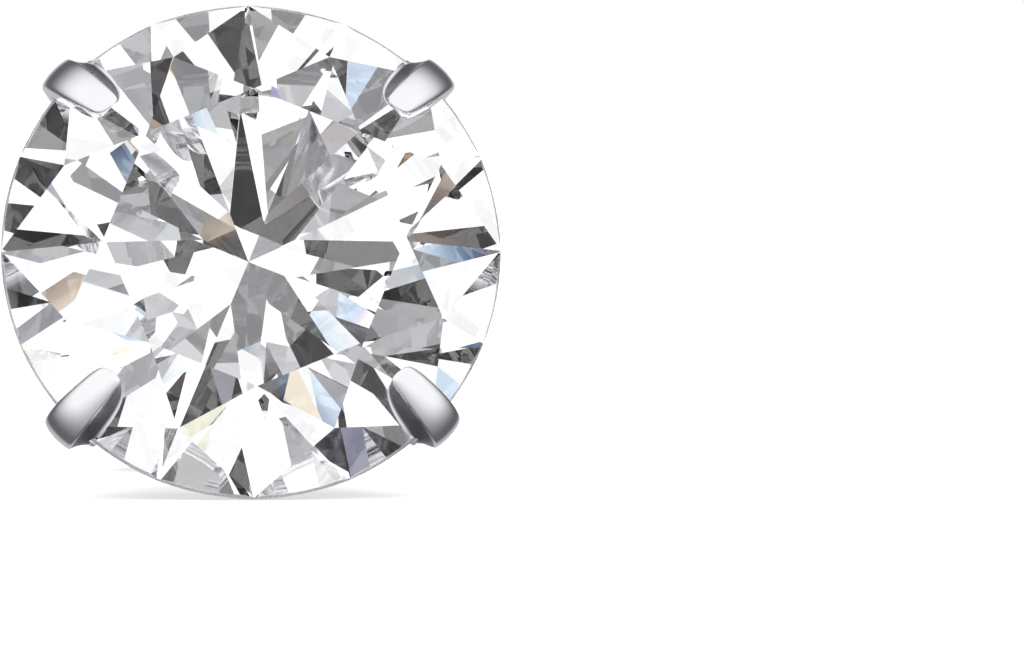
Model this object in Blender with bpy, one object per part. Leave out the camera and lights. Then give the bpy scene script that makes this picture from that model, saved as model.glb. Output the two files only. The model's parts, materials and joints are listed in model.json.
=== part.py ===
"""Ear stud with one round brilliant-cut stone in a four-claw basket, and its push-back nut.

The stud is modelled in its own frame first: +Z runs out of the stone's table, +Y is up in the front
view, and the origin is the middle of the girdle. It is then laid on its side as it rests by itself:
on the girdle's edge in front and on the nut's lower edge behind, with the stone facing -Y and tipped
up a little. The origin is then the middle of the footprint's box, on the surface below.
"""

import math
from collections import namedtuple

import bmesh
import bpy
from mathutils import Matrix, Vector

MM = 0.001

# Stone: a round brilliant with a kite facet at every eighth of a turn. The reaches are the usual
# shares, of the crown's width for the stars and of the radius for the lower halves.
STONE_DIAMETER = 8.0 * MM
TABLE_DIAMETER = 4.8 * MM
CROWN_ANGLE = 36.2
PAVILION_ANGLE = 41.1
GIRDLE_HEIGHT = 0.20 * MM
STAR_REACH = 0.58
LOWER_HALF_REACH = 0.80
GIRDLE_SIDES = 96
MAIN_FACETS = 8
MERGE_DISTANCE = 0.0005 * MM

# Gap between the stone and the metal that holds it, and how far the claws reach into the stone's
# place before the seat is cut out of them
SEAT_CLEARANCE = 0.04 * MM
SEAT_BITE = 0.36 * MM

# Claws: bars that rise outside the girdle and fold over the crown, with a broad bevel down one side
CLAW_ANGLES = (45.0, 135.0, 225.0, 315.0)
CLAW_OVERHANG = 0.31 * MM
CLAW_REACH = 0.92 * MM
CLAW_RISE = 0.36 * MM
CLAW_WIDTH = 0.88 * MM
CLAW_TIP_WIDTH = 0.52 * MM
CLAW_BEVEL = 0.21 * MM
CLAW_TIP_BEVEL = 0.09 * MM
BEVEL_DROP = 0.17 * MM
EDGE_ROUND = 0.20 * MM
CLAW_DOME = 0.06 * MM

# Basket below the stone
WIRE_WIDTH = 0.80 * MM
WIRE_DEPTH = 0.80 * MM
FOOT_RADIUS = 2.70 * MM
CULET_GAP = 0.26 * MM
BOSS_HEIGHT = 0.90 * MM
BOSS_DIAMETER = 2.0 * MM
BOSS_EDGE = 0.10 * MM
WIRE_END = 0.72
GALLERY_DROP = 1.95 * MM
GALLERY_WIRE = 0.60 * MM
FOOT_RING_RISE = 1.15 * MM
FOOT_RING_WIRE = 0.56 * MM
RING_SIDES = 10
RING_STEPS = 64

# Post
POST_DIAMETER = 0.90 * MM
POST_LENGTH = 10.0 * MM
POST_TIP_ROUND = 0.18 * MM
POST_SIDES = 24
POST_TIP_STEPS = 4

# Push-back nut: a strip whose two ends curl back against the post
NUT_THICKNESS = 0.30 * MM
NUT_HEIGHT = 3.70 * MM
NUT_CURL_RADIUS = 0.85 * MM
NUT_CURL_SWEEP = 292.0
NUT_CORNER = 1.00 * MM
NUT_POST_CLEARANCE = 0.05 * MM
LOBE_GAP = 3.40 * MM
CURL_STEPS = 26
CORNER_STEPS = 6

# The claw over the crown, from its tip out to the shoulder. reach is the share of the way from tip to
# shoulder, rise the height over the crown's slope as a share of CLAW_RISE, facing the angle at which
# the top looks as a share of the crown's, spread the share of the way from the tip's width and bevel
# to the full ones, and width a further share of both. drop, dome and edge are shares of BEVEL_DROP,
# CLAW_DOME and EDGE_ROUND.
CrownRow = namedtuple("CrownRow", "reach rise facing spread width drop dome edge")
CLAW_OVER_CROWN = (
    CrownRow(0.00, 0.58, 1.40, 0.00, 0.52, 0.30, 0.2, 0.15),
    CrownRow(0.03, 0.80, 1.36, 0.00, 0.76, 0.55, 0.5, 0.20),
    CrownRow(0.08, 0.92, 1.30, 0.02, 0.92, 0.80, 0.8, 0.25),
    CrownRow(0.16, 1.00, 1.23, 0.10, 1.00, 0.90, 1.0, 0.25),
    CrownRow(0.32, 1.11, 1.14, 0.30, 1.00, 1.00, 1.0, 0.28),
    CrownRow(0.52, 1.20, 1.01, 0.54, 1.00, 1.00, 1.0, 0.34),
    CrownRow(0.70, 1.15, 0.86, 0.75, 1.00, 1.00, 1.0, 0.50),
    CrownRow(0.85, 0.95, 0.64, 0.91, 1.00, 1.00, 1.0, 0.80),
    CrownRow(0.95, 0.60, 0.40, 1.00, 1.00, 1.00, 1.0, 1.00),
    CrownRow(1.00, 0.10, 0.14, 1.00, 1.00, 1.00, 1.0, 1.00),
)

# The straight wire below the shoulder: down is the share of the way along it, facing a share of the
# angle at which its outer side looks, and spread the share of the way from the claw's width to its own.
WireRow = namedtuple("WireRow", "down facing spread")
STRAIGHT_WIRE = (
    WireRow(0.00, 0.20, 0.0),
    WireRow(0.10, 0.75, 0.5),
    WireRow(0.26, 1.00, 1.0),
    WireRow(1.00, 1.00, 1.0),
)

# The bend below it: radius is a share of FOOT_RADIUS, rise a share of WIRE_DEPTH above the foot, and
# facing is in degrees up from straight outwards.
BendRow = namedtuple("BendRow", "radius rise facing")
FOOT_BEND = (
    BendRow(0.975, 0.60, -40.0),
    BendRow(0.90, 0.26, -60.0),
    BendRow(0.80, 0.07, -76.0),
    BendRow(0.68, 0.00, -87.0),
)


def material(name, colour, roughness, metallic, transmission=0.0, ior=1.45):
    made = bpy.data.materials.new(name)
    made.use_nodes = True
    shader = made.node_tree.nodes["Principled BSDF"]
    shader.inputs["Base Color"].default_value = (*colour, 1.0)
    shader.inputs["Roughness"].default_value = roughness
    shader.inputs["Metallic"].default_value = metallic
    shader.inputs["Transmission Weight"].default_value = transmission
    shader.inputs["IOR"].default_value = ior
    made.diffuse_color = (*colour, 1.0)
    return made


def new_object(name, bm, finish):
    """A mesh object made of the bmesh, which is freed."""
    bmesh.ops.recalc_face_normals(bm, faces=bm.faces)
    mesh = bpy.data.meshes.new(name)
    bm.to_mesh(mesh)
    bm.free()
    mesh.materials.append(finish)
    made = bpy.data.objects.new(name, mesh)
    bpy.context.scene.collection.objects.link(made)
    return made


def around(radius, degrees, height):
    """The point at that radius, angle and height about the stud's axis."""
    angle = math.radians(degrees)
    return Vector((radius * math.cos(angle), radius * math.sin(angle), height))


def facet_through(first, second, third):
    """(point, outward normal) of the plane through three points of the stone."""
    normal = (second - first).cross(third - first).normalized()
    if normal.dot(first) < 0:
        normal.negate()
    return first, normal


def half_facets(rim_height, main_inner, main_slope, reach_radius, turn):
    """The two half facets beside one star or lower-half tip, and that tip's point.

    The tip lies on the main facet that starts at radius main_inner and falls by main_slope a unit outwards.
    """
    step = 360.0 / MAIN_FACETS
    across = reach_radius * math.cos(math.radians(step / 2))
    tip = around(reach_radius, turn + step / 2, main_inner[1] + (across - main_inner[0]) * main_slope)
    rim = STONE_DIAMETER / 2
    left, middle, right = (around(rim, turn + step * share, rim_height) for share in (0, 0.5, 1))
    return tip, [facet_through(tip, left, middle), facet_through(tip, middle, right)]


def crown_height():
    return (STONE_DIAMETER - TABLE_DIAMETER) / 2 * math.tan(math.radians(CROWN_ANGLE))


def pavilion_depth():
    return STONE_DIAMETER / 2 * math.tan(math.radians(PAVILION_ANGLE))


def brilliant_facets():
    """Each facet of the cut as (point, outward normal)."""
    radius, table = STONE_DIAMETER / 2, TABLE_DIAMETER / 2
    step = 360.0 / MAIN_FACETS
    rim_top, rim_bottom = GIRDLE_HEIGHT / 2, -GIRDLE_HEIGHT / 2
    table_height = rim_top + crown_height()
    culet = rim_bottom - pavilion_depth()
    crown_slope = -math.tan(math.radians(CROWN_ANGLE))
    pavilion_slope = math.tan(math.radians(PAVILION_ANGLE))
    table_side = table * math.cos(math.radians(step / 2))
    star_radius = table_side + STAR_REACH * (radius - table_side)
    lower_radius = (1 - LOWER_HALF_REACH) * radius

    facets = [(Vector((0, 0, table_height)), Vector((0, 0, 1)))]
    for index in range(MAIN_FACETS):
        turn = index * step
        tip, halves = half_facets(rim_top, (table, table_height), crown_slope, star_radius, turn)
        corners = around(table, turn, table_height), around(table, turn + step, table_height)
        facets.append(facet_through(*corners, tip))
        facets.extend(halves)
        facets.extend(half_facets(rim_bottom, (0, culet), pavilion_slope, lower_radius, turn)[1])
        crown_main = around(-crown_slope, turn, 1).normalized()
        pavilion_main = around(pavilion_slope, turn, -1).normalized()
        facets.append((around(radius, turn, rim_top), crown_main))
        facets.append((around(radius, turn, rim_bottom), pavilion_main))
    return facets


def cut_stone(name, finish, allowance=0.0):
    """A round blank cut by every facet's plane. A positive allowance leaves that much more all over."""
    bm = bmesh.new()
    height = 2 * (crown_height() + pavilion_depth() + GIRDLE_HEIGHT)
    radius = STONE_DIAMETER / 2 + allowance
    bmesh.ops.create_cone(
        bm, cap_ends=True, segments=GIRDLE_SIDES, radius1=radius, radius2=radius, depth=height
    )
    for point, normal in brilliant_facets():
        cut = bmesh.ops.bisect_plane(
            bm,
            geom=bm.verts[:] + bm.edges[:] + bm.faces[:],
            dist=MERGE_DISTANCE,
            plane_co=point + normal * allowance,
            plane_no=normal,
            clear_outer=True,
        )
        edges = [item for item in cut["geom_cut"] if isinstance(item, bmesh.types.BMEdge)]
        rim = [edge for edge in edges if edge.is_boundary]
        if rim:
            bmesh.ops.contextual_create(bm, geom=rim)
    bmesh.ops.remove_doubles(bm, verts=bm.verts, dist=MERGE_DISTANCE)
    return new_object(name, bm, finish)


def bridge_sections(bm, sections):
    """A closed skin through rings of points that all have the same count."""
    rings = [[bm.verts.new(point) for point in section] for section in sections]
    count = len(rings[0])
    for lower, upper in zip(rings, rings[1:]):
        for index in range(count):
            after = (index + 1) % count
            bm.faces.new((lower[index], lower[after], upper[after], upper[index]))
    bm.faces.new(rings[0])
    bm.faces.new(rings[-1])


def bar_outline(width, depth, bevel, drop, dome, edge):
    """The bar's section as (across, out) points, with a bevel on one side and a round on the other.

    Out is 0 at the edges of the domed top and -depth on the side that faces the stone.
    """
    half = width / 2
    left, right = -half + edge, half - bevel
    top = []
    for share in (0.0, 0.25, 0.5, 0.75, 1.0):
        top.append((left + (right - left) * share, dome * (1 - (2 * share - 1) ** 2)))
    return [
        (-half, -depth),
        (-half, -edge),
        (-half + edge * 0.29, -edge * 0.29),
        *top,
        (half - bevel * 0.62, -drop * 0.75),
        (half, -drop),
        (half, -depth),
    ]


def foot_level():
    """The height of the basket's underside, which leaves the culet its gap over the boss."""
    return -(GIRDLE_HEIGHT / 2 + pavilion_depth() + CULET_GAP + BOSS_HEIGHT)


def wire_ends():
    """(radius, height) of both ends of the straight wire's outer side, shoulder first."""
    shoulder = (STONE_DIAMETER / 2 + CLAW_OVERHANG, -CLAW_RISE)
    return shoulder, (FOOT_RADIUS, foot_level() + WIRE_DEPTH)


def wire_facing():
    """Degrees up from straight outwards in which the straight wire's outer side looks."""
    (top_radius, top_height), (low_radius, low_height) = wire_ends()
    return -math.degrees(math.atan((top_radius - low_radius) / (top_height - low_height)))


def wire_middle(height):
    """The radius of the wire's middle at that height."""
    (top_radius, top_height), (low_radius, low_height) = wire_ends()
    outer = top_radius + (low_radius - top_radius) * (top_height - height) / (top_height - low_height)
    return outer - WIRE_DEPTH / 2 / math.cos(math.radians(wire_facing()))


def claw_places():
    """(radius, height, facing in degrees, outline) down the claw, from its tip to the boss."""
    rim = STONE_DIAMETER / 2
    tip, shoulder = rim - CLAW_REACH, rim + CLAW_OVERHANG
    places = []
    for row in CLAW_OVER_CROWN:
        radius = tip + (shoulder - tip) * row.reach
        rise = CLAW_RISE * row.rise
        height = GIRDLE_HEIGHT / 2 + (rim - radius) * math.tan(math.radians(CROWN_ANGLE)) + rise
        outline = bar_outline(
            (CLAW_TIP_WIDTH + (CLAW_WIDTH - CLAW_TIP_WIDTH) * row.spread) * row.width,
            rise + SEAT_BITE,
            (CLAW_TIP_BEVEL + (CLAW_BEVEL - CLAW_TIP_BEVEL) * row.spread) * row.width,
            BEVEL_DROP * row.drop,
            CLAW_DOME * row.dome,
            EDGE_ROUND * row.edge,
        )
        places.append((radius, height, (90 - CROWN_ANGLE) * row.facing, outline))

    top, low = wire_ends()
    for row in STRAIGHT_WIRE:
        radius, height = (start + (end - start) * row.down for start, end in zip(top, low))
        width = CLAW_WIDTH + (WIRE_WIDTH - CLAW_WIDTH) * row.spread
        outline = bar_outline(width, WIRE_DEPTH, CLAW_BEVEL, BEVEL_DROP, CLAW_DOME, EDGE_ROUND)
        places.append((radius, height, wire_facing() * row.facing, outline))

    wire = bar_outline(WIRE_WIDTH, WIRE_DEPTH, CLAW_BEVEL, BEVEL_DROP, CLAW_DOME, EDGE_ROUND)
    for row in FOOT_BEND:
        height = foot_level() + WIRE_DEPTH * row.rise
        places.append((FOOT_RADIUS * row.radius, height, row.facing, wire))
    places.append((BOSS_DIAMETER / 2 * WIRE_END, foot_level(), -90.0, wire))
    return places


def claw_sections(side):
    """The claw's rings of points at angle 0. side is 1 or -1, the side that its bevel is on."""
    sections = []
    for radius, height, facing, outline in claw_places():
        turn = math.radians(facing)
        out = Vector((math.cos(turn), 0, math.sin(turn)))
        place = Vector((radius, 0, height))
        section = [place + Vector((0, side * across, 0)) + out * level for across, level in outline]
        sections.append(section)
    return sections


def ring(bm, radius, height, wire):
    """A round wire bent into a closed ring about the axis."""
    loops = []
    for step in range(RING_STEPS):
        turn = 360.0 * step / RING_STEPS
        loop = []
        for side in range(RING_SIDES):
            angle = 2 * math.pi * side / RING_SIDES
            out, up = wire / 2 * math.cos(angle), wire / 2 * math.sin(angle)
            loop.append(bm.verts.new(around(radius + out, turn, height + up)))
        loops.append(loop)
    for step, loop in enumerate(loops):
        following = loops[(step + 1) % RING_STEPS]
        for side in range(RING_SIDES):
            after = (side + 1) % RING_SIDES
            bm.faces.new((loop[side], following[side], following[after], loop[after]))


def turned(bm, profile, sides):
    """A closed solid turned about the axis from (radius, height) points, with flat ends."""
    sections = []
    for radius, height in profile:
        sections.append([around(radius, 360.0 * side / sides, height) for side in range(sides)])
    bridge_sections(bm, sections)


def join(base, other, operation):
    """A Boolean modifier on base, with the other object kept as a hidden helper."""
    other.hide_render = True
    other.display_type = "WIRE"
    modifier = base.modifiers.new(other.name, "BOOLEAN")
    modifier.operation = operation
    modifier.solver = "EXACT"
    modifier.object = other


def make_setting(finish):
    """Claws, rings, boss and post as one soldered piece, with the seat cut to the stone."""
    foot = foot_level()
    post_end = foot - POST_LENGTH
    tip = []
    for step in range(POST_TIP_STEPS, -1, -1):
        angle = math.radians(90.0 * step / POST_TIP_STEPS)
        inset, rise = POST_TIP_ROUND * (1 - math.cos(angle)), POST_TIP_ROUND * (1 - math.sin(angle))
        tip.append((POST_DIAMETER / 2 - inset, post_end + rise))
    bm = bmesh.new()
    turned(bm, [*tip, (POST_DIAMETER / 2, foot + BOSS_HEIGHT / 2)], POST_SIDES)
    setting = new_object("setting", bm, finish)

    boss = BOSS_DIAMETER / 2
    bm = bmesh.new()
    turned(
        bm,
        [
            (boss - BOSS_EDGE, foot - BOSS_EDGE),
            (boss, foot),
            (boss, foot + BOSS_HEIGHT - BOSS_EDGE),
            (boss - BOSS_EDGE, foot + BOSS_HEIGHT),
        ],
        POST_SIDES,
    )
    join(setting, new_object("boss_helper", bm, finish), "UNION")

    for name, height, wire in (
        ("gallery_helper", -GALLERY_DROP, GALLERY_WIRE),
        ("foot_ring_helper", foot + FOOT_RING_RISE, FOOT_RING_WIRE),
    ):
        bm = bmesh.new()
        ring(bm, wire_middle(height), height, wire)
        join(setting, new_object(name, bm, finish), "UNION")

    for index, degrees in enumerate(CLAW_ANGLES):
        bm = bmesh.new()
        bridge_sections(bm, claw_sections(1 if index % 2 == 0 else -1))
        turn = Matrix.Rotation(math.radians(degrees), 3, "Z")
        bmesh.ops.rotate(bm, cent=(0, 0, 0), matrix=turn, verts=bm.verts)
        join(setting, new_object(f"claw_helper_{index + 1}", bm, finish), "UNION")

    join(setting, cut_stone("seat_cutter", finish, SEAT_CLEARANCE), "DIFFERENCE")
    return setting


def nut_outline():
    """The curled strip seen along its height: (across, along the axis) points, its front at 0."""
    half = NUT_THICKNESS / 2
    centre = POST_DIAMETER / 2 + NUT_POST_CLEARANCE + half + NUT_CURL_RADIUS
    outer, inner = [], []
    for step in range(CURL_STEPS + 1):
        angle = math.radians(90 - NUT_CURL_SWEEP * step / CURL_STEPS)
        for line, radius in ((outer, NUT_CURL_RADIUS + half), (inner, NUT_CURL_RADIUS - half)):
            along = radius * math.sin(angle) - NUT_CURL_RADIUS - half
            line.append((centre + radius * math.cos(angle), along))
    right = outer + inner[::-1]
    left = [(-across, along) for across, along in reversed(right)]
    return right + left


def rounded_box(half_width, half_height, corner):
    """The (x, y) points of a rectangle with rounded corners, anticlockwise."""
    points = []
    for index in range(4):
        centre_x = (half_width - corner) * (1 if index in (0, 3) else -1)
        centre_y = (half_height - corner) * (1 if index in (0, 1) else -1)
        for step in range(CORNER_STEPS + 1):
            angle = math.radians(90 * index + 90.0 * step / CORNER_STEPS)
            points.append((centre_x + corner * math.cos(angle), centre_y + corner * math.sin(angle)))
    return points


def make_nut(finish):
    """The push-back nut: the curled strip, its outline's corners rounded, with a hole for the post."""
    front = foot_level() - LOBE_GAP
    outline = nut_outline()
    bm = bmesh.new()
    bridge_sections(
        bm,
        [
            [Vector((across, level, front + along)) for across, along in outline]
            for level in (-NUT_HEIGHT / 2, NUT_HEIGHT / 2)
        ],
    )
    nut = new_object("ear_nut", bm, finish)

    before = front + NUT_THICKNESS
    behind = front + min(along for _, along in outline) - NUT_THICKNESS
    corners = rounded_box(max(across for across, _ in outline), NUT_HEIGHT / 2, NUT_CORNER)
    bm = bmesh.new()
    bridge_sections(bm, [[Vector((x, y, level)) for x, y in corners] for level in (behind, before)])
    join(nut, new_object("nut_corner_helper", bm, finish), "INTERSECT")

    hole = POST_DIAMETER / 2 + NUT_POST_CLEARANCE
    bm = bmesh.new()
    turned(bm, [(hole, front - NUT_THICKNESS * 1.5), (hole, before)], POST_SIDES)
    join(nut, new_object("nut_hole_cutter", bm, finish), "DIFFERENCE")
    return nut


def world_points(made):
    """The finished object's points, as the viewport shows them."""
    evaluated = made.evaluated_get(bpy.context.evaluated_depsgraph_get())
    mesh = evaluated.to_mesh()
    points = [evaluated.matrix_world @ vertex.co for vertex in mesh.vertices]
    evaluated.to_mesh_clear()
    return points


def rest_tilt(front, back):
    """How far the axis tips up when the lowest points of both groups lie on one level."""

    def lowest(points, tilt):
        return min(point.y * math.cos(tilt) + point.z * math.sin(tilt) for point in points)

    low, high = 0.0, math.radians(45)
    for _ in range(60):
        tilt = (low + high) / 2
        if lowest(front, tilt) < lowest(back, tilt):
            low = tilt
        else:
            high = tilt
    return (low + high) / 2


def lay_down(carrier, objects):
    """Turns the stud onto its side and puts the footprint's middle at the origin, on the level z = 0."""
    for made in objects:
        made.parent = carrier
    bpy.context.view_layer.update()
    points = {made.name: world_points(made) for made in objects if not made.hide_render}
    before_post = [point for point in points["setting"] if point.z > foot_level()]
    tilt = rest_tilt(points["stone"] + before_post, points["ear_nut"])
    turn = Matrix.Rotation(math.radians(90) - tilt, 4, "X")
    laid = [turn @ point for found in points.values() for point in found]
    low = [min(point[axis] for point in laid) for axis in range(3)]
    high = [max(point[axis] for point in laid) for axis in range(3)]
    carrier.matrix_world = Matrix.Translation((0, -(low[1] + high[1]) / 2, -low[2])) @ turn


def main():
    for old in list(bpy.data.objects):
        bpy.data.objects.remove(old)
    metal = material("polished_silver", (0.87, 0.87, 0.88), 0.08, 1.0)
    clear = material("clear_stone", (0.95, 0.96, 0.97), 0.0, 0.0, transmission=1.0, ior=2.2)
    cut_stone("stone", clear)
    make_setting(metal)
    make_nut(metal)
    carrier = bpy.data.objects.new("stud", None)
    bpy.context.scene.collection.objects.link(carrier)
    lay_down(carrier, [made for made in bpy.data.objects if made.type == "MESH"])


main()
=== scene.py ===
"""Dresses the ear stud with smooth claws, basket, post and push-back nut, their finishes and a small studio.

Pieces are modelled in millimetres in the stud's own frame, in which +Z runs out of the stone's table, +Y is
up in the front view and the origin is the middle of the girdle. Each finished piece is then scaled down and
laid on its side.
"""

import json
import math
from collections import namedtuple

import bpy
from bpy.props import FloatProperty, FloatVectorProperty, PointerProperty
from mathutils import Matrix, Vector

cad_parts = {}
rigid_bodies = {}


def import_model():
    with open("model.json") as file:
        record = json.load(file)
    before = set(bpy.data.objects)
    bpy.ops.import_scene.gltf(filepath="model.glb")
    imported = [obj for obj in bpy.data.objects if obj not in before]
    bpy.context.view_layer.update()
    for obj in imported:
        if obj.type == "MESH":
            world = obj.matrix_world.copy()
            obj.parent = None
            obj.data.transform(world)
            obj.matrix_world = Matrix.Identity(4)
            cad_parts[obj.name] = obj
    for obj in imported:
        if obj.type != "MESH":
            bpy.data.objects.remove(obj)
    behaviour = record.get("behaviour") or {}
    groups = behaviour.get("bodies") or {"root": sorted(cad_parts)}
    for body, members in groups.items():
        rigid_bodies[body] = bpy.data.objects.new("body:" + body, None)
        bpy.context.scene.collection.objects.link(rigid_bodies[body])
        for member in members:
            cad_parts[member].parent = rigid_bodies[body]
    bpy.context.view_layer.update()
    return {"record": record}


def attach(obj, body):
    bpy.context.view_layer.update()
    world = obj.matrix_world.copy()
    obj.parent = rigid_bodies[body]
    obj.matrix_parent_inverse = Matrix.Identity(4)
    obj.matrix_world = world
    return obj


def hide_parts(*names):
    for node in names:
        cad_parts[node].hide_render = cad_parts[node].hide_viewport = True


bl_info = {
    "name": "Brilliant Ear Stud",
    "version": (1, 0, 0),
    "blender": (4, 5, 0),
    "location": "3D View > Sidebar > Ear Stud",
    "description": "Builds a claw-set round brilliant ear stud with its nut, finishes and studio",
    "category": "Object",
}

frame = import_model()
BODY = "root"

# Levels in the stud's own frame, in millimetres
GIRDLE_RADIUS = 4.0
GIRDLE_HALF = 0.10
CROWN_ANGLE = 36.2
FOOT = -4.7494
POST_LENGTH = 10.0
POST_RADIUS = 0.45
BOSS_TOP = FOOT + 0.9
NUT_FRONT = FOOT - 3.4
NUT_PLAY = 0.05
NUT_EDGE = 0.06
SEAT_GROWTH = 1.01
# Points nearer than this are welded, and places nearer than this count as the same
WELD = 0.0005
CLOSE = 0.001

# The post's end and the way the stone faces place the stud's own frame
POST_MOUNT = frame["record"]["mounts"][0]
FACING = -Vector(POST_MOUNT["axis"]).normalized()
MIDDLE = Vector(POST_MOUNT["pos_m"]) + FACING * (POST_LENGTH - FOOT) * 0.001
TURN = math.pi / 2 - math.asin(FACING.z)
STUD = Matrix.Translation(MIDDLE) @ Matrix.Rotation(TURN, 4, "X") @ Matrix.Scale(0.001, 4)

# The claw's section as (across, out) shares of its half width: the tongue up to its edge, then the cove and
# its rim
SECTION = (
    (-1.00, -1.40),
    (-1.00, -0.42),
    (-0.98, -0.17),
    (-0.90, -0.04),
    (-0.60, 0.05),
    (-0.24, 0.08),
    (0.12, 0.06),
    (0.34, 0.00),
    (0.42, -0.18),
    (0.55, -0.38),
    (0.72, -0.58),
    (0.80, -0.63),
    (0.93, -0.62),
    (1.00, -0.76),
    (1.00, -1.40),
)
TONGUE_EDGE = 7
RIM = 11

# The claw from its tip over the crown and down to the boss: radius and height of the middle of its top, the
# degrees up from straight outwards in which that top looks, its half width and depth, and how much of the
# cove is left
Row = namedtuple("Row", "radius height facing half depth cove")


def over_crown(reach, rise, facing, half, depth, cove):
    """A row that share of the way from the claw's tip to its shoulder, that far over the crown's slope."""
    radius = CLAW_TIP + (CLAW_SHOULDER - CLAW_TIP) * reach
    height = GIRDLE_HALF + (GIRDLE_RADIUS - radius) * math.tan(math.radians(CROWN_ANGLE)) + rise
    return Row(radius, height, facing, half, depth, cove)


CLAW_TIP = 3.11
CLAW_SHOULDER = 4.31
CLAW_ROWS = (
    over_crown(0.000, 0.335, 94, 0.12, 0.58, 0.20),
    over_crown(0.008, 0.350, 92, 0.20, 0.60, 0.25),
    over_crown(0.030, 0.365, 89, 0.262, 0.64, 0.33),
    over_crown(0.075, 0.385, 84, 0.310, 0.68, 0.48),
    over_crown(0.150, 0.405, 77, 0.345, 0.70, 0.68),
    over_crown(0.280, 0.435, 68, 0.380, 0.74, 0.88),
    over_crown(0.440, 0.455, 60, 0.410, 0.76, 0.98),
    over_crown(0.600, 0.460, 52, 0.435, 0.76, 1.00),
    over_crown(0.750, 0.425, 43, 0.452, 0.72, 1.00),
    over_crown(0.880, 0.330, 30, 0.460, 0.66, 1.00),
    over_crown(0.965, 0.190, 15, 0.460, 0.60, 1.00),
    over_crown(1.000, 0.000, 0, 0.460, 0.58, 0.95),
    Row(4.305, -0.36, -8, 0.435, 0.60, 0.80),
    Row(4.190, -0.72, -18, 0.415, 0.72, 0.55),
    Row(3.890, -1.30, -24, 0.400, 0.80, 0.40),
    Row(3.450, -2.28, -24, 0.400, 0.80, 0.30),
    Row(2.960, -3.37, -25, 0.400, 0.80, 0.30),
    Row(2.700, -3.95, -29, 0.400, 0.80, 0.30),
    Row(2.630, -4.27, -41, 0.400, 0.80, 0.30),
    Row(2.430, -4.54, -60, 0.400, 0.80, 0.30),
    Row(2.160, -4.69, -76, 0.400, 0.80, 0.30),
    Row(1.836, -4.749, -87, 0.400, 0.80, 0.30),
    Row(0.720, -4.749, -90, 0.400, 0.80, 0.30),
)

# Radius from the axis to the wire's middle, height, wire radius
GALLERY_RING = (3.158, -1.95, 0.30)
FOOT_RING = (2.419, FOOT + 1.15, 0.28)

# Boss and post turned about the axis, as (radius, height)
POST_PROFILE = (
    (0.0, BOSS_TOP - 0.14),
    (0.40, BOSS_TOP - 0.12),
    (0.72, BOSS_TOP - 0.03),
    (0.86, BOSS_TOP),
    (0.95, BOSS_TOP - 0.02),
    (0.99, BOSS_TOP - 0.07),
    (1.00, BOSS_TOP - 0.14),
    (1.00, FOOT + 0.12),
    (0.98, FOOT + 0.05),
    (0.92, FOOT),
    (0.74, FOOT - 0.02),
    (0.60, FOOT - 0.06),
    (0.51, FOOT - 0.15),
    (0.465, FOOT - 0.28),
    (POST_RADIUS, FOOT - 0.45),
    (POST_RADIUS, FOOT - 8.30),
    (0.435, FOOT - 8.36),
    (0.395, FOOT - 8.46),
    (0.390, FOOT - 8.60),
    (0.395, FOOT - 8.74),
    (0.435, FOOT - 8.84),
    (POST_RADIUS, FOOT - 8.90),
    (POST_RADIUS, FOOT - 9.82),
    (0.43, FOOT - 9.89),
    (0.38, FOOT - 9.95),
    (0.30, FOOT - 9.99),
    (0.22, FOOT - POST_LENGTH),
    (0.0, FOOT - POST_LENGTH),
)


def deselect():
    if bpy.context.mode != "OBJECT":
        bpy.ops.object.mode_set(mode="OBJECT")
    bpy.ops.object.select_all(action="DESELECT")


def pick(piece):
    """Selects only that piece and makes it active."""
    deselect()
    piece.select_set(True)
    bpy.context.view_layer.objects.active = piece


def name_new(name):
    """Names the object that an operator has just added, and applies its placing."""
    made = bpy.context.active_object
    made.name = name
    made.data.name = name
    bpy.ops.object.transform_apply(location=True, rotation=True, scale=True)
    return made


def choose(piece, kind, wanted):
    """Opens edit mode with only the vertices, edges or faces selected for which wanted says yes."""
    if bpy.context.mode != "OBJECT":
        bpy.ops.object.mode_set(mode="OBJECT")
    mesh = piece.data
    for group in (mesh.vertices, mesh.edges, mesh.polygons):
        group.foreach_set("select", [False] * len(group))
    for part in {"VERT": mesh.vertices, "EDGE": mesh.edges, "FACE": mesh.polygons}[kind]:
        part.select = bool(wanted(part))
    bpy.ops.object.mode_set(mode="EDIT")
    bpy.ops.mesh.select_mode(type=kind)


def edge_ends(piece, edge):
    return [piece.data.vertices[index].co for index in edge.vertices]


def apply(piece, kind, **settings):
    """Adds a modifier with those settings and applies it."""
    pick(piece)
    modifier = piece.modifiers.new(kind.title(), kind)
    for key, value in settings.items():
        setattr(modifier, key, value)
    bpy.ops.object.modifier_apply(modifier=modifier.name)


def cut(piece, other):
    """Takes the other piece out of this one."""
    apply(piece, "BOOLEAN", object=other, operation="DIFFERENCE", solver="EXACT")
    bpy.data.objects.remove(other)


def outline(name, points, closed=True):
    """A line drawn by extruding one vertex from point to point, and filled where it is closed."""
    deselect()
    bpy.ops.mesh.primitive_plane_add(size=1, location=points[0])
    made = name_new(name)
    bpy.ops.object.mode_set(mode="EDIT")
    bpy.ops.mesh.merge(type="CENTER")
    for before, after in zip(points, points[1:]):
        step = Vector(after) - Vector(before)
        bpy.ops.mesh.extrude_vertices_move(TRANSFORM_OT_translate={"value": step})
    bpy.ops.mesh.select_all(action="SELECT")
    if closed:
        bpy.ops.mesh.edge_face_add()
        bpy.ops.mesh.select_mode(type="FACE")
    return made


def turn_selected(degrees, axis, centre):
    """Turns what is selected by the right-hand rule. With no window the operator turns the other way."""
    sign = -1 if bpy.app.background else 1
    bpy.ops.transform.rotate(value=sign * math.radians(degrees), orient_axis=axis, center_override=centre)


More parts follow.
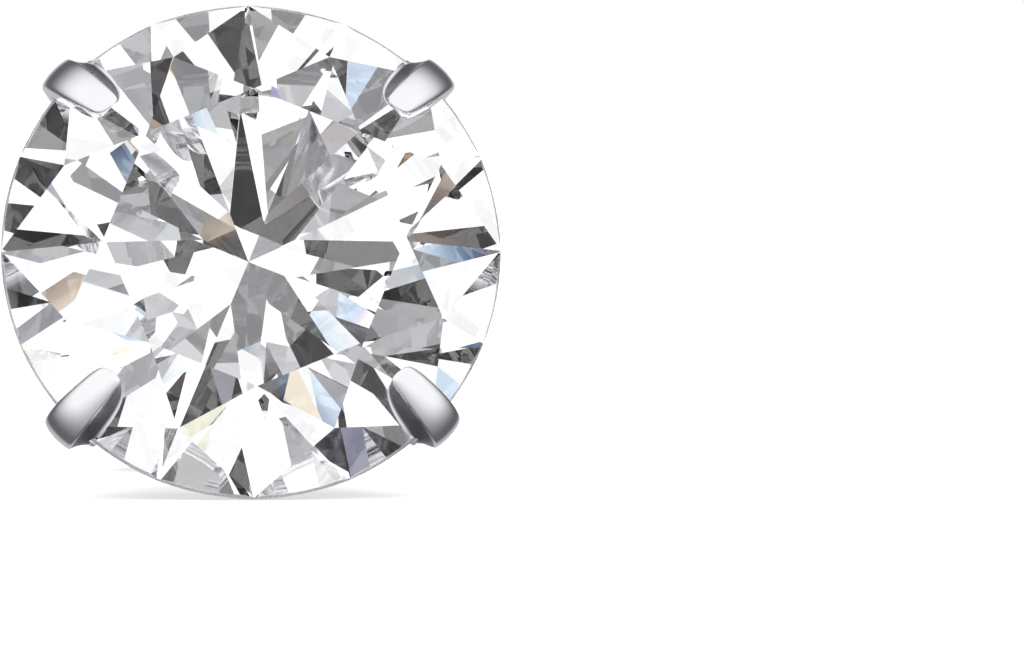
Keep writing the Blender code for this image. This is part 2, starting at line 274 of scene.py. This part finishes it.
def face_outwards():
    """Merges doubles and turns every face outwards, in edit mode."""
    bpy.ops.mesh.select_all(action="SELECT")
    bpy.ops.mesh.remove_doubles(threshold=WELD)
    bpy.ops.mesh.normals_make_consistent(inside=False)
    bpy.ops.object.mode_set(mode="OBJECT")


def copy_of(piece, name):
    """A copy of a piece with its own mesh."""
    pick(piece)
    bpy.ops.object.duplicate()
    made = bpy.context.active_object
    made.name = name
    made.data.name = name
    return made


def seat_cutter():
    """The stone in the stud's own frame, grown a little, which is cut out of the claws."""
    made = copy_of(bpy.data.objects["stone"], "seat_cutter")
    bpy.ops.object.parent_clear(type="CLEAR_KEEP_TRANSFORM")
    made.matrix_world = STUD.inverted() @ made.matrix_world
    bpy.ops.object.transform_apply(location=True, rotation=True, scale=True)
    choose(made, "FACE", lambda face: True)
    bpy.ops.mesh.remove_doubles(threshold=WELD)
    bpy.ops.mesh.dissolve_limited(angle_limit=math.radians(0.05))
    bpy.ops.transform.resize(value=(SEAT_GROWTH,) * 3, center_override=(0, 0, 0))
    bpy.ops.object.mode_set(mode="OBJECT")
    return made


def settle(piece, finish, node, angle=35.0):
    """Gives a finished piece its finish, shades it, lays it down in place of its CAD node, and gives it its
    body.
    """
    pick(piece)
    piece.data.materials.clear()
    piece.data.materials.append(finish)
    bpy.ops.object.shade_smooth_by_angle(angle=math.radians(angle))
    piece.matrix_world = STUD
    bpy.ops.object.transform_apply(location=True, rotation=True, scale=True)
    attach(piece, BODY)
    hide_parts(node)


class Nodes:
    """A short way to add and join shader nodes."""

    def __init__(self, tree):
        self.tree = tree

    def add(self, kind, label="", **settings):
        made = self.tree.nodes.new(kind)
        made.label = label
        for key, value in settings.items():
            setattr(made, key, value)
        return made

    def put(self, socket, value):
        """Joins an output to the input, or sets the input's own value."""
        if isinstance(value, bpy.types.NodeSocket):
            self.tree.links.new(value, socket)
        else:
            socket.default_value = value

    def math(self, operation, first, second=0.0, third=0.0):
        made = self.add("ShaderNodeMath", operation=operation)
        for socket, value in zip(made.inputs, (first, second, third)):
            self.put(socket, value)
        return made.outputs[0]

    def vector(self, operation, first, second=(0, 0, 0)):
        made = self.add("ShaderNodeVectorMath", operation=operation)
        self.put(made.inputs[0], first)
        self.put(made.inputs[1], second)
        return made.outputs["Value" if operation in ("DOT_PRODUCT", "LENGTH") else "Vector"]

    def ramp(self, value, low, high, to_low=0.0, to_high=1.0):
        """A smooth step from to_low to to_high."""
        made = self.add("ShaderNodeMapRange", interpolation_type="SMOOTHSTEP")
        settings = {"Value": value, "From Min": low, "From Max": high, "To Min": to_low, "To Max": to_high}
        for key, setting in settings.items():
            self.put(made.inputs[key], setting)
        return made.outputs["Result"]

    def mix(self, share, first, second):
        made = self.add("ShaderNodeMix", data_type="RGBA")
        self.put(made.inputs[0], share)
        self.put(made.inputs[6], first)
        self.put(made.inputs[7], second)
        return made.outputs[2]

    def noise(self, where, scale, detail=2.0, roughness=0.5):
        made = self.add("ShaderNodeTexNoise")
        self.put(made.inputs["Vector"], where)
        made.inputs["Scale"].default_value = scale
        made.inputs["Detail"].default_value = detail
        made.inputs["Roughness"].default_value = roughness
        return made.outputs["Fac"]

    def stud_place(self):
        """Object coordinates turned into the stud's own frame, in millimetres."""
        place = self.add("ShaderNodeTexCoord").outputs["Object"]
        centred = self.add("ShaderNodeMapping", "stud's own frame", vector_type="TEXTURE")
        self.put(centred.inputs["Vector"], place)
        centred.inputs["Location"].default_value = MIDDLE
        centred.inputs["Rotation"].default_value = (TURN, 0, 0)
        centred.inputs["Scale"].default_value = (0.001, 0.001, 0.001)
        return centred.outputs["Vector"]


def new_material(name, colour):
    made = bpy.data.materials.new(name)
    made.use_nodes = True
    made.diffuse_color = (*colour, 1.0)
    return made, Nodes(made.node_tree), made.node_tree.nodes["Principled BSDF"]


# Share of the plate's colour left in the claws' coves: a painted shade
RECESS_SHADE = (0.34, 0.33, 0.37)


def plated_metal(name, colour, roughness, grain, recess=None):
    """Polished plate with soft buffing marks, faint clouding, and deep in the basket a little less polish and
    a painted shade.

    A recess is the name of an attribute that is 1 where the mop of the polisher can't reach: there the plate
    is left rougher and its colour is darkened as painted shade.
    """
    made, nodes, shader = new_material(name, colour)
    place = nodes.stud_place()
    clouds = nodes.noise(place, 1.3, 3.0)
    stretched = nodes.add("ShaderNodeMapping", "buffing direction")
    nodes.put(stretched.inputs["Vector"], place)
    stretched.inputs["Scale"].default_value = (grain, grain, 1.6)
    marks = nodes.noise(stretched.outputs["Vector"], 3.0, 4.0, 0.6)
    levels = nodes.add("ShaderNodeSeparateXYZ")
    nodes.put(levels.inputs[0], place)
    # Painted shade: the colour darkens by about a tenth towards the back of the setting, deep in the basket,
    # where the polish is also a little rougher
    depth = nodes.ramp(levels.outputs["Z"], -3.6, -0.6)
    deep = tuple(channel * share for channel, share in zip(colour, (0.90, 0.90, 0.92)))
    tone = nodes.mix(depth, (*deep, 1.0), (*colour, 1.0))
    pale = tuple(min(1.0, channel * 1.03) for channel in colour)
    tone = nodes.mix(nodes.ramp(clouds, 0.35, 0.70), tone, (*pale, 1.0))
    rough = nodes.ramp(marks, 0.30, 0.75, roughness * 0.7, roughness * 1.5)
    rough = nodes.math("MULTIPLY_ADD", nodes.ramp(depth, 0.0, 1.0, 1.0, 0.0), 0.04, rough)
    if recess:
        # Painted shade in the claws' coves: the colour is darkened there, and the polish is left rougher
        dull_and_shaded = nodes.ramp(nodes.add("ShaderNodeAttribute", attribute_name=recess).outputs["Fac"], 0.15, 0.85)
        dark = tuple(channel * share for channel, share in zip(colour, RECESS_SHADE))
        tone = nodes.mix(dull_and_shaded, tone, (*dark, 1.0))
        rough = nodes.math("MULTIPLY_ADD", dull_and_shaded, 0.30, rough)
    nodes.put(shader.inputs["Base Color"], tone)
    shader.inputs["Metallic"].default_value = 1.0
    nodes.put(shader.inputs["Roughness"], rough)
    bump = nodes.add("ShaderNodeBump")
    bump.inputs["Strength"].default_value = 0.05
    bump.inputs["Distance"].default_value = 0.00001
    nodes.put(bump.inputs["Height"], marks)
    nodes.put(shader.inputs["Normal"], bump.outputs["Normal"])
    return made


class EarStudStone(bpy.types.PropertyGroup):
    tint: FloatVectorProperty(
        name="Tint", description="Body colour of the stone", subtype="COLOR", size=3,
        default=(0.985, 0.99, 1.0),
    )
    girdle: FloatVectorProperty(
        name="Girdle", description="Colour of the ground girdle", subtype="COLOR", size=3,
        default=(0.34, 0.345, 0.37),
    )
    refraction: FloatProperty(
        name="Refraction", description="Refractive index of the stone", default=2.2, min=1.4, max=2.6
    )
    frost: FloatProperty(
        name="Frost", description="Roughness of the ground girdle", subtype="FACTOR",
        default=0.32, min=0.0, max=1.0,
    )


class EarStudMetal(bpy.types.PropertyGroup):
    colour: FloatVectorProperty(
        name="Plate", description="Colour of the plated silver", subtype="COLOR", size=3,
        default=(0.90, 0.905, 0.92),
    )
    roughness: FloatProperty(
        name="Roughness", description="Roughness of the polished plate", subtype="FACTOR", default=0.07,
        min=0.0, max=1.0,
    )
    ring_flat: FloatProperty(
        name="Ring Height", description="Height of the basket's rings against their width", subtype="FACTOR",
        default=0.92, min=0.3, max=1.0,
    )


class EarStudNut(bpy.types.PropertyGroup):
    thickness: FloatProperty(
        name="Thickness", description="Thickness of the nut's strip", unit="LENGTH",
        default=0.0003, precision=5,
    )
    height: FloatProperty(
        name="Height", description="Height of the nut's strip", unit="LENGTH", default=0.0037, precision=5
    )
    taper_from: FloatProperty(
        name="Taper Length", description="How far in from the nut's sides its strip starts to taper",
        unit="LENGTH", default=0.0016, precision=5,
    )
    taper: FloatProperty(
        name="Taper", description="How much is gone above and below at the nut's sides", unit="LENGTH",
        default=0.0008, precision=5,
    )
    curl: FloatProperty(
        name="Curl Radius", description="Radius of the middle of each curl", unit="LENGTH", default=0.00085,
        precision=5,
    )
    sweep: FloatProperty(
        name="Curl Sweep", description="How far each end is rolled up", unit="ROTATION",
        default=math.radians(292),
    )


class EarStudStudio(bpy.types.PropertyGroup):
    lens: FloatProperty(name="Lens", description="Focal length", unit="CAMERA", default=300.0)
    azimuth: FloatProperty(
        name="Azimuth", description="How far the camera has walked round", unit="ROTATION",
        default=math.radians(-4.75),
    )
    elevation: FloatProperty(
        name="Elevation", description="How far the camera looks down", unit="ROTATION",
        default=math.radians(2.0),
    )
    frame_width: FloatProperty(
        name="Frame Width", description="Width of the view at the stone", unit="LENGTH",
        default=0.016384, precision=5,
    )
    floor: FloatVectorProperty(
        name="Floor", description="Colour of the floor", subtype="COLOR", size=3, default=(0.94, 0.94, 0.94)
    )
    dome: FloatProperty(
        name="Dome", description="Brightness of the light all round that the metal mirrors", default=1.035,
        min=0.0, max=5.0,
    )
    sparkle: FloatProperty(
        name="Sparkle", description="Brightness of the light all round that the stone throws back",
        default=1.4, min=0.0, max=5.0,
    )
    veil: FloatProperty(
        name="Veil", description="Brightness of what the stone's own surface mirrors",
        default=0.08, min=0.0, max=5.0,
    )
    glow: FloatProperty(
        name="Table Glow", description="Light from the table itself", default=0.45, min=0.0, max=1.0
    )
    wash: FloatProperty(
        name="Wash", description="Brightness of the light on the floor", default=1.35, min=0.0, max=5.0
    )


class EARSTUD_OT_stone(bpy.types.Operator):
    """Gives the cut stone its clear body and its ground girdle"""

    bl_idname = "earstud.stone"
    bl_label = "Finish Stone"

    def execute(self, context):
        props = context.scene.ear_stud_stone
        made, nodes, shader = new_material("brilliant_stone", props.tint)
        place = nodes.stud_place()
        parts = nodes.add("ShaderNodeSeparateXYZ")
        nodes.put(parts.inputs[0], place)
        flat = nodes.vector("MULTIPLY", place, (1, 1, 0))
        radius = nodes.vector("LENGTH", flat)
        level = nodes.math("ABSOLUTE", parts.outputs["Z"])
        beyond = nodes.ramp(level, GIRDLE_HALF * 0.9, GIRDLE_HALF * 1.1, 1.0, 0.0)
        edge = nodes.ramp(radius, GIRDLE_RADIUS - 0.05, GIRDLE_RADIUS - 0.02)
        girdle = nodes.math("MULTIPLY", edge, beyond)
        grind = nodes.add("ShaderNodeMapping", "grinding marks run along the axis")
        nodes.put(grind.inputs["Vector"], place)
        grind.inputs["Scale"].default_value = (9.0, 9.0, 1.2)
        marks = nodes.noise(grind.outputs["Vector"], 4.0, 3.0, 0.6)
        ground = nodes.mix(marks, (*(channel * 0.8 for channel in props.girdle), 1.0), (*props.girdle, 1.0))
        nodes.put(shader.inputs["Base Color"], nodes.mix(girdle, (*props.tint, 1.0), ground))
        frost = nodes.ramp(marks, 0.3, 0.7, props.frost * 0.7, props.frost * 1.3)
        nodes.put(shader.inputs["Roughness"], nodes.math("MULTIPLY", frost, girdle))
        shader.inputs["IOR"].default_value = props.refraction
        shader.inputs["Transmission Weight"].default_value = 1.0
        bump = nodes.add("ShaderNodeBump")
        bump.inputs["Distance"].default_value = 0.00001
        nodes.put(bump.inputs["Strength"], nodes.math("MULTIPLY", girdle, 0.4))
        nodes.put(bump.inputs["Height"], marks)
        nodes.put(shader.inputs["Normal"], bump.outputs["Normal"])
        for slot in bpy.data.objects["stone"].material_slots:
            slot.material = made
        return {"FINISHED"}


class EARSTUD_OT_claws(bpy.types.Operator):
    """Extrudes one claw from its tip to the boss, copies it to the corners and cuts the stone's seat out"""

    bl_idname = "earstud.claws"
    bl_label = "Add Claws"

    def shape(self):
        """One claw along +X, with its cove towards +Y."""
        half = CLAW_ROWS[0].half
        points = [(0, across * half, out * half) for across, out in SECTION]
        claw = outline("claw", points)
        count = len(SECTION)
        last = Row(0, 0, 90, half, -SECTION[0][1] * half, 1)
        for index, row in enumerate(CLAW_ROWS):
            step = (row.radius - last.radius, 0, row.height - last.height)
            if index:
                bpy.ops.mesh.extrude_region_move(TRANSFORM_OT_translate={"value": step})
            else:
                bpy.ops.transform.translate(value=step)
            middle = (row.radius, 0, row.height)
            turn_selected(last.facing - 90, "Y", middle)
            growth = row.half / last.half
            deeper = row.depth / last.depth
            bpy.ops.transform.resize(value=(1, growth, deeper), center_override=middle)
            turn_selected(90 - row.facing, "Y", middle)
            last = row
        for index, row in enumerate(CLAW_ROWS):
            edge = row.half * SECTION[TONGUE_EDGE][0]
            first = index * count
            ring = range(first, first + count)
            choose(claw, "VERT", lambda vertex: vertex.index in ring and vertex.co.y > edge + CLOSE)
            bpy.ops.transform.resize(value=(1, row.cove, 1), center_override=(0, edge, 0))
        bpy.ops.object.mode_set(mode="OBJECT")
        # The cove between the tongue's edge and the rim, which the plate's finish darkens as painted shade
        recess = claw.data.attributes.new("recess", "FLOAT", "POINT")
        recess.data.foreach_set(
            "value", [TONGUE_EDGE < index % count < RIM for index in range(len(claw.data.vertices))]
        )
        for place, crease in ((TONGUE_EDGE, 0.95), (RIM, 0.4)):
            choose(claw, "EDGE", lambda edge: {end % count for end in edge.vertices} == {place})
            bpy.ops.transform.edge_crease(value=crease)
        choose(claw, "EDGE", lambda edge: all(end < count for end in edge.vertices))
        bpy.ops.transform.edge_crease(value=0.8)
        face_outwards()
        apply(claw, "SUBSURF", levels=2, render_levels=2)
        return claw

    def execute(self, context):
        props = context.scene.ear_stud_metal
        finish = plated_metal("claw_plate", props.colour, props.roughness, 7.0, "recess")
        first = self.shape()
        other = copy_of(first, "claw_mirrored")
        choose(other, "FACE", lambda face: True)
        bpy.ops.transform.resize(value=(1, -1, 1), center_override=(0, 0, 0))
        face_outwards()
        for index, degrees in enumerate((45.0, 135.0, 225.0, 315.0)):
            claw = copy_of(other if index % 2 else first, f"claw_{index + 1}")
            choose(claw, "FACE", lambda face: True)
            turn_selected(degrees, "Z", (0, 0, 0))
            bpy.ops.object.mode_set(mode="OBJECT")
            cut(claw, seat_cutter())
            if not claw.data.polygons:
                raise RuntimeError("the seat cut left nothing of a claw")
            settle(claw, finish, "setting", 40.0)
        for spare in (first, other):
            bpy.data.objects.remove(spare)
        return {"FINISHED"}


class EARSTUD_OT_basket(bpy.types.Operator):
    """Spins the two rings of the basket from one flattened round of wire"""

    bl_idname = "earstud.basket"
    bl_label = "Add Basket Rings"

    def execute(self, context):
        props = context.scene.ear_stud_metal
        finish = plated_metal("basket_plate", props.colour, props.roughness, 5.0)
        for name, (radius, height, wire) in (("gallery_ring", GALLERY_RING), ("foot_ring", FOOT_RING)):
            deselect()
            bpy.ops.mesh.primitive_circle_add(
                vertices=28, radius=wire, location=(radius, 0, height), rotation=(math.pi / 2, 0, 0)
            )
            ring = name_new(name)
            choose(ring, "VERT", lambda vertex: True)
            bpy.ops.transform.resize(value=(1, 1, props.ring_flat), center_override=(radius, 0, height))
            bpy.ops.mesh.spin(steps=160, angle=2 * math.pi, center=(0, 0, 0), axis=(0, 0, 1))
            face_outwards()
            settle(ring, finish, "setting", 60.0)
        return {"FINISHED"}


class EARSTUD_OT_post(bpy.types.Operator):
    """Turns the boss under the stone and the post with its notch as one piece"""

    bl_idname = "earstud.post"
    bl_label = "Add Post"

    def execute(self, context):
        props = context.scene.ear_stud_metal
        finish = plated_metal("post_plate", props.colour, props.roughness, 3.0)
        post = outline("post", [(radius, 0, height) for radius, height in POST_PROFILE], closed=False)
        bpy.ops.mesh.spin(steps=72, angle=2 * math.pi, center=(0, 0, 0), axis=(0, 0, 1))
        face_outwards()
        settle(post, finish, "setting", 50.0)
        return {"FINISHED"}


class EARSTUD_OT_nut(bpy.types.Operator):
    """Draws one half of a rounded strip, rolls its end up against the post, mirrors it and pierces it"""

    bl_idname = "earstud.nut"
    bl_label = "Add Nut"

    def half_strip(self, props):
        """The strip from the axis out along +X, tapered so that it stays out of sight behind the stone."""
        thickness, height, curl = (value * 1000 for value in (props.thickness, props.height, props.curl))
        taper_from, taper = props.taper_from * 1000, props.taper * 1000
        turn_at = POST_RADIUS + NUT_PLAY + thickness / 2 + curl
        widest = turn_at + curl + thickness / 2
        level = NUT_FRONT - thickness / 2

        def half_height(across):
            beyond = max(0.0, across - (widest - taper_from))
            return height / 2 - taper * (beyond / taper_from) ** 2

        points = []
        for across, up in ((1, 1), (-1, 1), (-1, -1), (1, -1)):
            for degrees in (0, 30, 60, 90):
                swing = math.radians(degrees if across * up > 0 else 90 - degrees)
                points.append(
                    (
                        0,
                        across * (height / 2 - NUT_EDGE + NUT_EDGE * math.cos(swing)),
                        level + up * (thickness / 2 - NUT_EDGE + NUT_EDGE * math.sin(swing)),
                    )
                )
        strip = outline("nut", points)
        last = height / 2
        flat_steps, curl_steps = 8, 60
        for step in range(1, flat_steps + 1):
            bpy.ops.mesh.extrude_region_move(TRANSFORM_OT_translate={"value": (turn_at / flat_steps, 0, 0)})
            tall = half_height(turn_at * step / flat_steps)
            bpy.ops.transform.resize(value=(1, tall / last, 1), center_override=(0, 0, 0))
            last = tall
        for step in range(1, curl_steps + 1):
            bpy.ops.mesh.extrude_region_move()
            turn_selected(math.degrees(props.sweep) / curl_steps, "Y", (turn_at, 0, level - curl))
            tall = half_height(turn_at + (curl + thickness / 2) * math.sin(props.sweep * step / curl_steps))
            bpy.ops.transform.resize(value=(1, tall / last, 1), center_override=(0, 0, 0))
            last = tall
        return strip

    def execute(self, context):
        metal = context.scene.ear_stud_metal
        nut = self.half_strip(context.scene.ear_stud_nut)
        choose(nut, "FACE", lambda face: abs(face.center.x) < CLOSE)
        bpy.ops.mesh.delete(type="FACE")
        bpy.ops.object.mode_set(mode="OBJECT")
        apply(nut, "MIRROR", use_clip=True, merge_threshold=CLOSE)
        choose(nut, "FACE", lambda face: True)
        face_outwards()
        deselect()
        bore = POST_RADIUS + NUT_PLAY
        bpy.ops.mesh.primitive_cylinder_add(vertices=64, radius=bore, depth=1, location=(0, 0, NUT_FRONT))
        cut(nut, name_new("nut_hole"))

        def on_rim(edge):
            first, second = edge_ends(nut, edge)
            round_hole = all(abs(math.hypot(end.x, end.y) - bore) < 2 * CLOSE for end in (first, second))
            return round_hole and abs(first.z - second.z) < CLOSE

        choose(nut, "EDGE", on_rim)
        bpy.ops.mesh.bevel(offset=0.03, segments=2)
        bpy.ops.object.mode_set(mode="OBJECT")
        if len(nut.data.polygons) < 100:
            raise RuntimeError("the nut was lost in its cut")
        finish = plated_metal("nut_plate", metal.colour, metal.roughness * 1.2, 4.0)
        settle(nut, finish, "ear_nut", 40.0)
        return {"FINISHED"}


# Studio panels as seen from the stone: degrees to the right of and above the way to the camera, how far the
# panel reaches round its middle, and its brightness. A later panel covers an earlier one. The directions and
# reaches of the second to the twenty-sixth were found by a search against the photo and rounded. The others
# were set by hand where a trace showed that a facet looks.
Panel = namedtuple("Panel", "right up half level")
PANELS = (
    Panel(180, 0, 50, (0.02, 0.02, 0.02)),
    Panel(16, 22, 18, (0.36, 0.36, 0.37)),
    Panel(-1, 6, 16, (0.06, 0.06, 0.06)),
    Panel(-33, -14, 19, (0.50, 0.50, 0.52)),
    Panel(28, -8, 16, (0.09, 0.09, 0.09)),
    Panel(-25, -68, 21, (0.01, 0.01, 0.01)),
    Panel(-9, 14, 7, (1.40, 1.40, 1.40)),
    Panel(2, 2, 8, (0.70, 0.70, 0.72)),
    Panel(123, 36, 8, (0.30, 0.30, 0.31)),
    Panel(-15, 43, 9, (0.34, 0.34, 0.35)),
    Panel(-83, 16, 9, (0.02, 0.02, 0.02)),
    Panel(-175, 62, 12, (0.01, 0.01, 0.01)),
    Panel(23, -10, 9, (1.25, 1.25, 1.25)),
    Panel(30, 13, 9, (1.40, 1.40, 1.40)),
    Panel(-45, 15, 7, (0.01, 0.01, 0.01)),
    Panel(-14, -3, 8, (0.50, 0.50, 0.52)),
    Panel(-71, -19, 15, (1.25, 1.25, 1.25)),
    Panel(28, 37, 16, (1.25, 1.25, 1.25)),
    Panel(64, -39, 8, (0.70, 0.70, 0.72)),
    Panel(-36, 3, 12, (1.25, 1.25, 1.25)),
    Panel(-38, -2, 6, (1.25, 1.25, 1.25)),
    Panel(-49, -41, 11, (0.01, 0.01, 0.01)),
    Panel(38, -46, 6, (0.01, 0.01, 0.01)),
    Panel(-30, 44, 10, (0.01, 0.01, 0.01)),
    Panel(-87, 41, 12, (0.20, 0.20, 0.21)),
    Panel(71, 53, 14, (0.14, 0.14, 0.14)),
    Panel(-34, -43, 4, (0.02, 0.02, 0.02)),
    Panel(-23, -33, 5, (0.01, 0.01, 0.01)),
    Panel(-27, -3, 5, (0.01, 0.01, 0.01)),
    Panel(-13, 6, 5, (0.02, 0.02, 0.02)),
    Panel(-13, -7, 2, (1.15, 0.95, 0.72)),
    Panel(43, 69, 10, (0.01, 0.01, 0.01)),
    Panel(-162, -29, 10, (0.10, 0.10, 0.10)),
    Panel(84, 60, 9, (0.01, 0.01, 0.01)),
    Panel(-21, 1, 2, (1.18, 1.06, 0.88)),
    Panel(6, 18, 2, (0.50, 0.46, 0.76)),
    Panel(5, 35, 7, (0.32, 0.32, 0.33)),
    Panel(24, 18, 2, (0.66, 0.98, 1.04)),
    Panel(-28, -10, 2, (0.05, 0.06, 0.08)),
    Panel(35, -15, 2, (0.76, 0.90, 1.08)),
    Panel(17, -22, 2, (0.80, 0.96, 1.15)),
    Panel(55, -13, 4, (1.15, 1.12, 0.92)),
    Panel(56, 4, 2, (0.24, 0.24, 0.34)),
    Panel(-46, 42, 5, (0.35, 0.35, 0.38)),
    Panel(-42, -23, 5, (0.03, 0.03, 0.03)),
    Panel(43, -22, 5, (0.02, 0.02, 0.02)),
    Panel(-10, -18, 5, (0.02, 0.02, 0.02)),
)
# How far to either side a panel's edge fades, as a share of its reach, and how many degrees farther out that
# edge is in green than in red and in blue than in green, for wide panels and for those up to NARROW
PANEL_BLUR = 0.03
FRINGE = 0.1
NARROW = 16
NARROW_FRINGE = 0.05

# What the metal mirrors: a dark card that is full up to the first number of degrees round the way straight
# behind the stud and has faded out at the second, and in the same way the paler patch in its middle
DARK_BAND = (54.0, 110.0)
DARK_CARD = (0.13, 0.13, 0.145)
BACK_GLOW = (20.0, 44.0)
GLOW = (0.55, 0.55, 0.57)
# In the same way the table that the metal mirrors, round the way straight down
BELOW = (25.0, 72.0)
BELOW_LEVEL = (0.46, 0.46, 0.48)

# How far right of and below the stone's middle the view's middle is, as shares of the view's width
STONE_SHIFT = (260.7 / 1024, 79.5 / 1024)


class EARSTUD_OT_studio(bpy.types.Operator):
    """Sets the pale floor, the light all round with its dark panels, and the camera"""

    bl_idname = "earstud.studio"
    bl_label = "Add Studio"

    def set_camera(self, context, props, across, upright, forward):
        """The stone's middle lies left of and above the view's middle, as in a picture of a pair."""
        data = bpy.data.cameras.new("camera")
        data.lens = props.lens
        data.clip_start = 0.001
        data.clip_end = 5.0
        distance = props.frame_width * props.lens / data.sensor_width
        right, down = (shift * props.frame_width for shift in STONE_SHIFT)
        aim = MIDDLE + across * right - upright * down
        camera = bpy.data.objects.new("camera", data)
        camera.matrix_world = Matrix.Translation(aim - forward * distance) @ Matrix(
            (across, upright, -forward)
        ).transposed().to_4x4()
        context.scene.collection.objects.link(camera)
        context.scene.camera = camera

    def set_floor(self, props):
        deselect()
        bpy.ops.mesh.primitive_plane_add(size=1.2, location=(0, 0, 0))
        floor = name_new("floor")
        made, nodes, shader = new_material("pale_floor", props.floor)
        place = nodes.add("ShaderNodeTexCoord").outputs["Object"]
        shade = nodes.noise(place, 40.0, 2.0)
        darker = tuple(channel * 0.985 for channel in props.floor)
        nodes.put(shader.inputs["Base Color"], nodes.mix(shade, (*darker, 1.0), (*props.floor, 1.0)))
        shader.inputs["Roughness"].default_value = 0.9
        shader.inputs["Specular IOR Level"].default_value = 0.0
        shader.inputs["Emission Color"].default_value = (1.0, 1.0, 1.0, 1.0)
        shader.inputs["Emission Strength"].default_value = props.glow
        floor.data.materials.append(made)
        # The stone and the metal mirror the lit studio alone, as on a light table
        floor.visible_glossy = False
        floor.visible_transmission = False

    def set_world(self, context, props, across, upright, forward):
        world = bpy.data.worlds.new("studio")
        world.use_nodes = True
        context.scene.world = world
        nodes = Nodes(world.node_tree)
        background = world.node_tree.nodes["Background"]
        towards = nodes.add("ShaderNodeTexCoord").outputs["Generated"]

        def even(label, level):
            """Light that is the same from everywhere."""
            made = nodes.add("ShaderNodeCombineXYZ", label)
            for socket in made.inputs:
                socket.default_value = level
            return made.outputs[0]

        def lay(light, direction, near, far, fringe, level):
            """Lays a panel over the light, full up to near degrees round a direction and gone at far."""
            facing = nodes.vector("DOT_PRODUCT", towards, direction)
            share = nodes.add("ShaderNodeMapRange", data_type="FLOAT_VECTOR", interpolation_type="SMOOTHSTEP")
            nodes.put(share.inputs["Vector"], facing)
            spread = (-fringe, 0.0, fringe)
            share.inputs[7].default_value = [math.cos(math.radians(far + shift)) for shift in spread]
            share.inputs[8].default_value = [math.cos(math.radians(near + shift)) for shift in spread]
            mixed = nodes.add("ShaderNodeMix", data_type="VECTOR", factor_mode="NON_UNIFORM")
            nodes.put(mixed.inputs[1], share.outputs["Vector"])
            nodes.put(mixed.inputs[4], light)
            nodes.put(mixed.inputs[5], level)
            return mixed.outputs[1]

        metal_light = lay(even("dome", props.dome), (0, 0, -1), *BELOW, 0.0, BELOW_LEVEL)
        metal_light = lay(metal_light, -FACING, *DARK_BAND, 0.0, DARK_CARD)
        metal_light = lay(metal_light, -FACING, *BACK_GLOW, 0.0, GLOW)
        stone_light = even("sparkle", props.sparkle)
        for panel in PANELS:
            right, up = math.radians(panel.right), math.radians(panel.up)
            direction = -forward * math.cos(right) * math.cos(up) + across * math.sin(right) * math.cos(up)
            direction += upright * math.sin(up)
            fringe = FRINGE if panel.half > NARROW else NARROW_FRINGE
            near, far = panel.half * (1 - PANEL_BLUR), panel.half * (1 + PANEL_BLUR)
            stone_light = lay(stone_light, direction, near, far, fringe, panel.level)
        path = nodes.add("ShaderNodeLightPath")
        # Only the stone is sharp enough to mirror the studio in singular rays
        veil = (props.veil, props.veil, props.veil, 1.0)
        shown = nodes.mix(path.outputs["Is Singular Ray"], metal_light, veil)
        shown = nodes.mix(path.outputs["Is Transmission Ray"], shown, stone_light)
        shown = nodes.mix(path.outputs["Is Diffuse Ray"], shown, (props.wash, props.wash, props.wash, 1.0))
        shown = nodes.mix(path.outputs["Is Camera Ray"], shown, (1.0, 1.0, 1.0, 1.0))
        nodes.put(background.inputs["Color"], shown)
        background.inputs["Strength"].default_value = 1.0

    def execute(self, context):
        props = context.scene.ear_stud_studio
        scene = context.scene
        forward = Vector(
            (
                -math.sin(props.azimuth) * math.cos(props.elevation),
                math.cos(props.azimuth) * math.cos(props.elevation),
                -math.sin(props.elevation),
            )
        )
        across = forward.cross(Vector((0, 0, 1))).normalized()
        upright = across.cross(forward)
        self.set_camera(context, props, across, upright, forward)
        self.set_floor(props)
        self.set_world(context, props, across, upright, forward)
        scene.view_settings.view_transform = "Standard"
        scene.cycles.max_bounces = 32
        scene.cycles.glossy_bounces = 24
        scene.cycles.transmission_bounces = 24
        return {"FINISHED"}


GROUPS = (
    ("ear_stud_stone", EarStudStone),
    ("ear_stud_metal", EarStudMetal),
    ("ear_stud_nut", EarStudNut),
    ("ear_stud_studio", EarStudStudio),
)
OPERATORS = (
    EARSTUD_OT_stone,
    EARSTUD_OT_claws,
    EARSTUD_OT_basket,
    EARSTUD_OT_post,
    EARSTUD_OT_nut,
    EARSTUD_OT_studio,
)


class EARSTUD_PT_panel(bpy.types.Panel):
    """Sizes, colours and build steps of the ear stud"""

    bl_idname = "EARSTUD_PT_panel"
    bl_label = "Ear Stud"
    bl_space_type = "VIEW_3D"
    bl_region_type = "UI"
    bl_category = "Ear Stud"

    def draw(self, context):
        for attribute, group in GROUPS:
            box = self.layout.box()
            for name in group.__annotations__:
                box.prop(getattr(context.scene, attribute), name)
        for operator in OPERATORS:
            self.layout.operator(operator.bl_idname)


def register():
    for attribute, group in GROUPS:
        bpy.utils.register_class(group)
        setattr(bpy.types.Scene, attribute, PointerProperty(type=group))
    for item in (*OPERATORS, EARSTUD_PT_panel):
        bpy.utils.register_class(item)


def unregister():
    for item in reversed((*OPERATORS, EARSTUD_PT_panel)):
        bpy.utils.unregister_class(item)
    for attribute, group in reversed(GROUPS):
        delattr(bpy.types.Scene, attribute)
        bpy.utils.unregister_class(group)


def main():
    register()
    bpy.ops.earstud.stone()
    bpy.ops.earstud.claws()
    bpy.ops.earstud.basket()
    bpy.ops.earstud.post()
    bpy.ops.earstud.nut()
    bpy.ops.earstud.studio()


if __name__ == "__main__":
    main()
